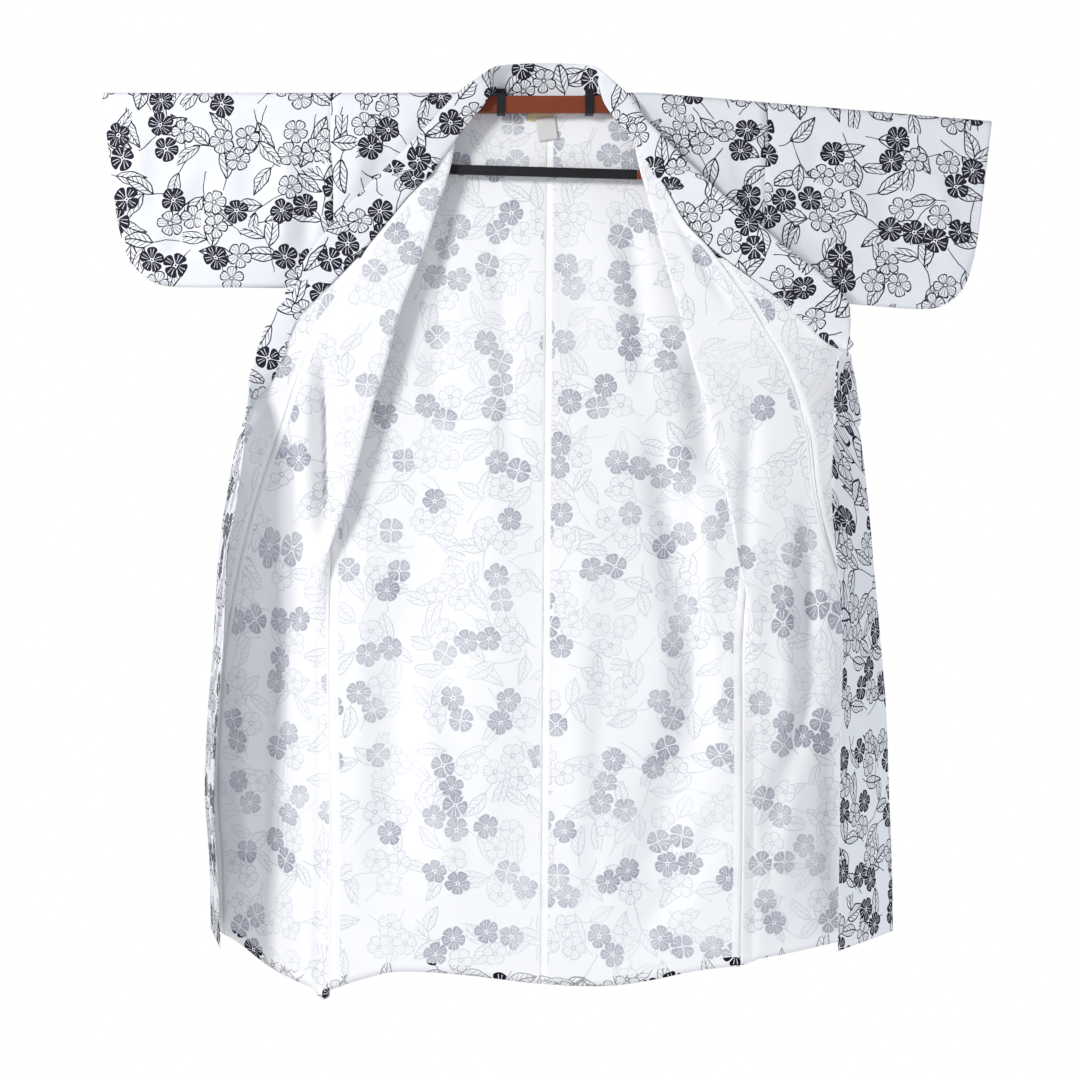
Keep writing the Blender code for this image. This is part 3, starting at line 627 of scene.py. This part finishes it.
def front_path(side, z):
    """The front's section at height z, from the side seam over the roll to the okumi seam."""
    row = section(side, z)
    side_at, roll, end = row.side, row.roll, row.okumi
    turn = (row.under + row.over) / 2 * FOLD_DEPTH
    if z > SECTION_TOP:
        end = (mix(end[0], NECK_HALF, (z - SECTION_TOP) / (SHOULDER_Z - SECTION_TOP)), -12)
        roll = (end[0] + 3 * FOLD_TURN, roll[1])
    near = (roll[0] + FOLD_TURN * row.under, roll[1] + turn)
    far = (roll[0] + FOLD_TURN * row.over, roll[1] - turn)
    lead = FOLD_TURN * 4 / 3
    before, after = (near[0] - lead * row.under, near[1]), (far[0] - lead * row.over, far[1])
    path = [mix(side_at, near, k / UNDER) for k in range(UNDER)]
    path += [bezier(near, before, after, far, k / TURN) for k in range(TURN)]
    path += [mix(far, end, k / OVER) for k in range(OVER + 1)]
    return path


def lapel_turn(side, z):
    """How far the cloth's grain is turned beyond the roll, from the slope of the roll."""
    slope = (section(side, z - 25).roll[0] - section(side, z + 25).roll[0]) / 50
    turned = smooth((z + 980) / 560) if z < -122 else 0
    return 2 * math.atan(max(0.0, slope)) * turned


def front_z(side, step, share):
    """Height of a row at a share of the way from the side seam to the free edge."""
    if step < len(FRONT_Z):
        return FRONT_Z[step]
    return mix(FRONT_Z[-1], along(HEM[side], share), (step - len(FRONT_Z) + 1) / FRONT_HEM)


def front_grid(side):
    """One front: down from the shoulder, out over its roll, and open below like a door."""
    grid = []
    last = UNDER + TURN + OVER
    for step in range(len(FRONT_Z) + FRONT_HEM):
        row = []
        for k in range(last + 1):
            share = FRONT_SHARE * k / last
            z = front_z(side, step, share)
            path = front_path(side, z)
            lengths = arcs(path)
            x, y = path[k]
            beyond = max(0.0, lengths[k] - lengths[UNDER + TURN // 2])
            grain = lapel_turn(side, z)
            before = min(lengths[k], lengths[UNDER + TURN // 2])
            flat_x = SLEEVE_SEAM_X[side] - before - beyond * math.cos(grain)
            flat = (side * flat_x + BODY_FLAT * side, z - beyond * math.sin(grain))
            if k > UNDER + TURN // 2:
                hold = smooth((k - UNDER - TURN // 2) / 6) * smooth((last - k) / 9)
                y += hold * (fold_depth(DOOR_FOLDS[side], x, z) + 1.2 * ripple(x, z, side * 5.0))
            elif z < 0:
                waves = 0.8 * ripple(x, z, side * 2.0) + fold_depth(PANEL_FOLDS[side], x, z)
                y += waves * smooth(k / 5) * smooth((UNDER - k) / 5) * smooth(-z / 30)
            seam = min(lengths[k] * FRONT_TURNING, (lengths[-1] - lengths[k]) * OKUMI_TURNING)
            if k == 0:
                x, y = x + 1.2, y + 1.8 * smooth(-z / 300)
            if z > SHOULDER_Z - SHOULDER_ROUND:
                y = over_shoulder(y, z)
            hem = along(HEM[side], share)
            edge = (seam if z < -150 else AWAY, z - hem)
            row.append(Point((side * x, y, z + droop(side * x, 1 - smooth(-z / 150))), flat, edge))
        grid.append(row)
    return grid, side > 0


for side, word in ((1, "left"), (-1, "right")):
    body = sewn_cloth(f"body_{word}", [back_grid(side), front_grid(side)], (printed, reverse))
    dress(body, (f"back_{word}", f"front_{word}"))


# --- Okumi ------------------------------------------------------------------------------------------------
# A strip 15 cm wide at the hem, sewn to each front's edge and tapering to a point on the collar. It carries
# on outwards from the front, then folds forward, so that its printed face shows edge on.
OKUMI_TOP, COLLAR_END = -234.0, -484.0
OKUMI_ACROSS = 20
OKUMI_FLAT = 1300  # where the okumi lie on the flat cloth
FOLD_ROUND = 9.0


def bent(start, corner, end, t):
    """A point at t from start to end round a softened corner."""
    first = mix(corner, start, min(0.5, FOLD_ROUND / math.dist(corner, start)))
    last = mix(corner, end, min(0.5, FOLD_ROUND / math.dist(corner, end)))
    if t < 0.4:
        return mix(start, first, t / 0.4)
    if t > 0.6:
        return mix(last, end, (t - 0.6) / 0.4)
    return bezier(first, mix(first, corner, 0.6), mix(last, corner, 0.6), last, (t - 0.4) / 0.2)


def okumi_grid(side):
    """One okumi, from its point to the hem."""
    grid = []
    for step in range(len(FRONT_Z) + FRONT_HEM):
        if front_z(side, step, 0) > OKUMI_TOP:
            continue
        row = []
        for k in range(OKUMI_ACROSS + 1):
            share = mix(FRONT_SHARE, 1, k / OKUMI_ACROSS)
            z = front_z(side, step, share)
            at = section(side, z)
            end = mix(at.collar, at.free, smooth((COLLAR_END + 24 - z) / 16))
            path = [bent(at.okumi, at.fold, end, j / OKUMI_ACROSS) for j in range(OKUMI_ACROSS + 1)]
            lengths = arcs(path)
            x, y = path[k]
            hold = smooth(k / 5) * smooth((OKUMI_ACROSS - k) / 5)
            y += hold * 1.5 * ripple(x + y, z, side * 9.0)
            start = arcs(front_path(side, z))[-1]
            grain = lapel_turn(side, z)
            flat_x = side * (OKUMI_FLAT - lengths[k] * math.cos(grain)) + start
            flat = (flat_x, z - lengths[k] * math.sin(grain))
            edge = (lengths[k] * OKUMI_TURNING if z < OKUMI_TOP - 4 else AWAY, z - along(HEM[side], share))
            if z < COLLAR_END:
                edge = (edge[0], min(edge[1], lengths[-1] - lengths[k]))
            if k == 0:
                x, y = mix((x, y), path[1], -0.4)[0], y - 0.4 * side
            row.append(Point((side * x, y, z), flat, edge))
        grid.append(row)
    return grid, side > 0


for side, word in ((1, "left"), (-1, "right")):
    okumi = sewn_cloth(f"okumi_{word}", [okumi_grid(side)], (printed, reverse))
    dress(okumi, (f"okumi_{word}",))


# --- Collar -----------------------------------------------------------------------------------------------
# One long band of doubled cloth, 5.5 cm wide at the nape and 7 cm in front, printed on both faces. It stands
# at the neck, lies over on the shoulders and runs down the edges of the okumi.
COLLAR_THICK = 2.2
COLLAR_ACROSS = 12
COLLAR_STEPS = 7  # rows from one station to the next
COLLAR_FLAT = 3100  # where the collar lies on the flat cloth
LIFT = {1: 9.0, -1: 6.0}  # how far the lying collar's free edge stands off the sleeve
Station = namedtuple("Station", "seam roll free")
NECK = {
    1: [
        Station((0, 20, -9.5), (0, 21, 22), (0, 19, 53)),
        Station((28, 19.5, -8), (28, 20, 22), (27, 17, 52)),
        Station((56, 17, -5), (53, 17, 22), (47, 13, 50)),
        Station((72, 13, -1), (65, 11, 23), (61, 4, 45)),
        Station((83, 6, 2.5), (73, 1, 24), (76, -8, 37)),
        Station((86, -9, 1), (78, -14, 13), (106, -21, 8)),
        Station((92, -13.5, -14), (88, -17, -15), (128, -21, -14)),
        Station((103, -15, -38), (106, -18, -38), (140, -21, -37)),
        Station((124, -17, -65), (128, -20, -65), (165, -22.5, -64)),
        Station((144, -19, -93), (149, -22, -93), (192, -23, -92)),
        Station((162, -20, -122), (168, -23, -122), (223, -23, -121)),
    ],
    -1: [
        Station((0, 20, -9.5), (0, 21, 22), (0, 19, 53)),
        Station((28, 19.5, -8), (28, 20, 22), (27, 17, 52)),
        Station((56, 17, -5), (53, 17, 22), (47, 13, 50)),
        Station((72, 13, -1), (66, 12, 23), (62, 4, 46)),
        Station((83, 6, 2.5), (76, 2, 24), (79, -8, 39)),
        Station((87, -9, 1), (80, -14, 13), (102, -21, 20)),
        Station((97.5, -14.5, -14), (95, -18, -14), (128, -21, 1)),
        Station((115, -15, -38), (117, -19, -38), (158, -22, -32)),
        Station((135, -17, -65), (139, -20, -65), (184, -23, -62)),
        Station((156, -19, -93), (161, -22, -93), (213, -23, -91)),
        Station((176, -20, -122), (182, -23, -122), (243, -23, -121)),
    ],
}
LAPEL_Z = (-137, -152, -188, -225, -262, -298, -327, -356, -368, -378, -388, -416, -444, -464, -484)


def collar_row(side, at):
    """Points across the collar at a place along it, from its seam to its free edge."""
    stations = [Station(s.seam, s.roll, s.free) for s in NECK[side]]
    for z in LAPEL_Z:
        row = section(side, z)
        seam, free = (*mix(row.collar, row.free, 0.02), z), (*row.free, z)
        middle = mix(seam, free, 0.5)
        stations.append(Station(seam, (middle[0], middle[1] - 1.5, middle[2]), free))
    ends = []
    for name in Station._fields:
        values = [getattr(s, name) for s in stations]
        ends.append(tuple(along([(i, v[k]) for i, v in enumerate(values)], at) for k in range(3)))
    seam, roll, free = ends
    over = tuple(2 * roll[k] - (seam[k] + free[k]) / 2 for k in range(3))
    row = []
    for k in range(COLLAR_ACROSS + 1):
        t = k / COLLAR_ACROSS
        row.append(mix(mix(seam, over, t), mix(over, free, t), t))
    return row


def collar_grid():
    """The collar in one length, from one end round the neck to the other."""
    last = len(NECK[1]) + len(LAPEL_Z) - 1
    rows = []
    for step in range(-last * COLLAR_STEPS, last * COLLAR_STEPS + 1):
        side = 1 if step >= 0 else -1
        rows.append([(side * x, y - 0.5, z) for x, y, z in collar_row(side, abs(step) / COLLAR_STEPS)])
    middles = [Vector(row[COLLAR_ACROSS // 2]) for row in rows]
    run = arcs(middles)
    grid = []
    for i, row in enumerate(rows):
        grain = (middles[min(i + 2, len(rows) - 1)] - middles[max(i - 2, 0)]).normalized()
        points = []
        for k, at in enumerate(row):
            reach = Vector(at) - middles[i]
            slide = reach.dot(grain)
            width = math.sqrt(max(0.0, reach.length_squared - slide**2))
            across = math.copysign(width, k - COLLAR_ACROSS / 2)
            bulge = 0.5 * ripple(run[i], across * 2, 11.0)
            lying = smooth(-at[2] / 60) * smooth((at[2] + 330) / 120) * (k / COLLAR_ACROSS) ** 2
            bulge -= lying * LIFT[1 if at[0] > 0 else -1]
            flat = (across + COLLAR_FLAT, run[i] + slide)
            points.append(Point((at[0], at[1] + bulge, at[2]), flat, (AWAY, AWAY)))
        grid.append(points)
    return grid, False


collar = sewn_cloth("collar", [collar_grid()], (printed,), COLLAR_THICK)
dress(collar, ("collar",))


# --- Sleeves ----------------------------------------------------------------------------------------------
# Flat sleeves folded at the top, sewn to the body at the armhole and closed along the bottom and round the
# corner. The cuff stays open.
SLEEVE_DEPTH_Y = 1.4
CUFF_TOP = (648, 4.5)
SLEEVE_BOTTOM = [(0, 320, -279), (0.35, 430, -279), (0.74, 556, -277), (0.86, 590, -262), (0.94, 612, -235)]
SLEEVE_BOTTOM += [(1, 624, -195)]
SLEEVE_COLUMNS, SLEEVE_DOWN = 40, 34
SLEEVE_TOP = [0, 0.003, 0.008, 0.016, 0.028, 0.045, 0.065]  # close rows round the fold at the top
SLEEVE_FLAT = 1800  # where the sleeves lie on the flat cloth
SLEEVE_FOLDS = {
    1: [Fold(332, -150, 424, -274, 11, 10), Fold(350, -120, 470, -262, 12, -6),
        Fold(470, -40, 520, -250, 24, 6), Fold(400, -10, 380, -150, 18, 4),
        Fold(560, -60, 600, -220, 16, -5)],
    -1: [Fold(330, -60, 360, -262, 13, 7), Fold(480, -90, 560, -268, 18, 8),
         Fold(420, -10, 440, -200, 22, 5), Fold(372, -30, 392, -268, 12, -6),
         Fold(590, -30, 600, -200, 16, -5)],
}


def sleeve_grid(side):
    """One sleeve: at each place along it, a ring from its back's lower seam over the top to its front's."""
    depths = SLEEVE_TOP + [mix(SLEEVE_TOP[-1], 1, k / SLEEVE_DOWN) for k in range(1, SLEEVE_DOWN + 1)]
    loop = [(d, 1) for d in depths[::-1]] + [(d, -1) for d in depths[1:]]
    grid = []
    for k in range(SLEEVE_COLUMNS + 1):
        share = smooth(k / SLEEVE_COLUMNS) * 0.3 + k / SLEEVE_COLUMNS * 0.7
        bottom_x, bottom_z = (along([(s[0], s[j]) for s in SLEEVE_BOTTOM], share) for j in (1, 2))
        shift = (SLEEVE_SEAM_X[side] - SLEEVE_SEAM_X[1]) * (1 - share)
        ring = []
        for depth, face in loop:
            top_x = mix(SLEEVE_SEAM_X[1], CUFF_TOP[0], share)
            x = mix(top_x, bottom_x, depth) + shift - 0.1
            z = mix(SHOULDER_Z, bottom_z, depth)
            close = smooth((1 - depth) * 6)
            y = mix(SHOULDER_Y + face * SLEEVE_DEPTH_Y, BACK_Y if face > 0 else -9.0, close)
            if face < 0:
                seam_y = section(side, z).side[1]
                y += close * (seam_y + 9) * smooth(1 - (x - SLEEVE_SEAM_X[side]) / 70)
            if k == 0:
                x, y = x - 3, y - 0.4 * face
            soft = smooth((1 - depth) * 4) * smooth(depth * 5) * smooth((x - SLEEVE_SEAM_X[side] - 2) / 26)
            waves = 1.3 * ripple(x, z, side * 4 + face, 0.5)
            y += soft * face * (waves - fold_depth(SLEEVE_FOLDS[side], x, z))
            z -= 1.2 * noise.noise(Vector((x / 90, side, face))) * (depth > 0.5)
            flat = (side * (x + SLEEVE_FLAT), z if face < 0 else 2 * SHOULDER_Z - z)
            edge = (min(x - SLEEVE_SEAM_X[side], (1 - depth) * 280), CUFF_TOP[0] * (1 - share))
            ring.append(Point((side * x, over_shoulder(y, z), z + droop(side * x, 1)), flat, edge))
        grid.append(ring)
    return grid, side > 0


for side, word in ((1, "left"), (-1, "right")):
    sleeve = sewn_cloth(f"sleeve_{word}", [sleeve_grid(side)], (printed, reverse))
    dress(sleeve, (f"sleeve_{word}",))


# --- Labels -----------------------------------------------------------------------------------------------
# Two plain woven labels stitched inside the back below the nape: a cream one above, and a white one that
# hangs below it a little askew, with its lower end curling off the cloth.
LABEL_THICK, LABEL_STEPS = 0.35, 14
LABEL_FLAT = 5000  # where the labels lie on the flat cloth


def woven(name, colour, thread):
    """Tightly woven ribbon: fine ribs, a darker selvedge thread at both ends, slightly uneven."""
    made, shade, shader = new_material(name)
    metres = shade.node("ShaderNodeUVMap", {"uv_map": "Cloth"})
    place = metres.node("ShaderNodeVectorMath", {"operation": "SCALE"}, {0: metres, "Scale": PER_METRE})
    ribbed = {"Vector": place, "Scale": 0.9, "Distortion": 0.6}
    ribs = shade.node("ShaderNodeTexWave", {"bands_direction": "Y"}, ribbed)
    uneven = shade.node("ShaderNodeTexNoise", {}, {"Vector": place, "Scale": 0.18, "Detail": 4.0})
    edges = shade.node("ShaderNodeUVMap", {"uv_map": "Edges"})
    split = edges.node("ShaderNodeSeparateXYZ", {}, {0: edges})
    stitch = abs(split * PER_METRE - 1.8) < 0.35
    split = place.node("ShaderNodeSeparateXYZ", {}, {0: place})
    dash = (split * 0.45).math("FRACT", split * 0.45) > 0.35
    body = (ribs * 0.4 + uneven * 0.5).mixed((*[c * 0.88 for c in colour], 1), (*colour, 1), "RGBA")
    link(shader, "Base Color", (stitch * dash).mixed(body, (*thread, 1), "RGBA"))
    link(shader, "Roughness", uneven * 0.2 + 0.6)
    bump = shade.node("ShaderNodeBump", {}, {"Strength": 0.4, "Distance": 0.0003, "Height": ribs + stitch})
    link(shader, "Normal", bump)
    return made


def label_grid(centre, size, tilt, lift, curl):
    """A label laid on the back's own surface, turned by tilt."""
    grid = []
    for i in range(LABEL_STEPS + 1):
        row = []
        for j in range(LABEL_STEPS + 1):
            u, v = (j / LABEL_STEPS - 0.5) * size[0], (0.5 - i / LABEL_STEPS) * size[1]
            x = centre[0] + u * math.cos(tilt) - v * math.sin(tilt)
            z = centre[1] + u * math.sin(tilt) + v * math.cos(tilt)
            y = back_y(x, z, SLEEVE_SEAM_X[1]) - lift - curl * smooth(i / LABEL_STEPS - 0.3) ** 2
            y -= 0.5 * ripple(x * 4, z * 4, 7.0) * smooth(i / 4)
            edge = ((0.5 - abs(0.5 - i / LABEL_STEPS)) * size[1], AWAY)
            row.append(Point((x, y, z), (u + LABEL_FLAT, v), edge))
        grid.append(row)
    return grid, True


LABELS = [
    ("label_brand", (-10, -26), (38, 17), -0.14, 1.4, 0.4,
     "label_cream", (0.82, 0.70, 0.42), (0.55, 0.36, 0.12)),
    ("label_care", (0, -44), (29, 34), 0.14, 2.4, 1.6,
     "label_white", (0.83, 0.83, 0.82), (0.62, 0.60, 0.58)),
]
for name, centre, size, tilt, lift, curl, slot, colour, thread in LABELS:
    laid = label_grid(centre, size, tilt, lift, curl)
    label = sewn_cloth(name, [laid], (woven(slot, colour, thread),), LABEL_THICK)
    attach(label, "root")
    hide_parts(name)


# --- Room and light ---------------------------------------------------------------------------------------
# A pale floor under the robe in a white room: a soft light from the upper left, a weak one that rakes from
# the left, a wide one from the right, a weak one low in front of the +X side, and one behind for the back.
FLOOR_Z = -1.62
FLOOR = [(-2, -1.8, FLOOR_Z), (2, -1.8, FLOOR_Z), (2, 0.5, FLOOR_Z), (-2, 0.5, FLOOR_Z)]
floor_mesh = bpy.data.meshes.new("floor")
floor_mesh.from_pydata(FLOOR, [], [(0, 1, 2, 3)])
floor_finish, _, floor_shader = new_material("pale_floor")
floor_shader.inputs["Base Color"].default_value = (0.86, 0.86, 0.87, 1)
floor_shader.inputs["Roughness"].default_value = 0.9
floor_mesh.materials.append(floor_finish)
floor = bpy.data.objects.new("floor", floor_mesh)
bpy.context.collection.objects.link(floor)


def lamp(name, place, aim, size, power, colour):
    """A square soft light."""
    made = bpy.data.objects.new(name, bpy.data.lights.new(name, "AREA"))
    made.data.size, made.data.energy, made.data.color = size, power, colour
    made.location = place
    made.rotation_euler = (Vector(aim) - Vector(place)).to_track_quat("-Z", "Y").to_euler()
    bpy.context.collection.objects.link(made)


lamp("key", (-2.0, -2.2, 0.6), (0.05, 0, -0.6), 0.7, 60, (1, 0.985, 0.97))
lamp("side", (-2.4, -1.0, -0.4), (0, 0, -0.6), 1.2, 8, (1, 0.99, 0.98))
lamp("fill", (3.2, -0.7, -0.7), (0.3, 0, -0.7), 1.8, 24, (0.95, 0.97, 1))
lamp("low", (0.9, -1.5, -1.15), (0.25, 0, -0.95), 0.8, 3.4, (0.97, 0.98, 1))
lamp("behind", (1.6, 2.6, 0.6), (0, 0, -0.6), 1.2, 64, (1, 0.99, 0.98))
world = bpy.data.worlds.new("soft")
world.use_nodes = True
air = Shade(world.node_tree)
seen = air.node("ShaderNodeLightPath")
ambient = air.node("ShaderNodeBackground", {}, {"Color": (0.88, 0.93, 1, 1), "Strength": 0.37})
white = air.node("ShaderNodeBackground", {}, {"Color": (1, 1, 1, 1), "Strength": 1.0})
both = air.node("ShaderNodeMixShader", {}, {0: seen, 1: ambient, 2: white})
world.node_tree.links.new(both.socket, world.node_tree.nodes["World Output"].inputs["Surface"])
bpy.context.scene.world = world
bpy.context.scene.view_settings.view_transform = "Standard"

camera = bpy.data.objects.new("camera", bpy.data.cameras.new("camera"))
camera.location = (-0.010, -2.5, -0.648)
camera.rotation_euler = (math.pi / 2, 0, 0)
camera.data.angle = math.radians(35.0)
bpy.context.collection.objects.link(camera)
bpy.context.scene.camera = camera
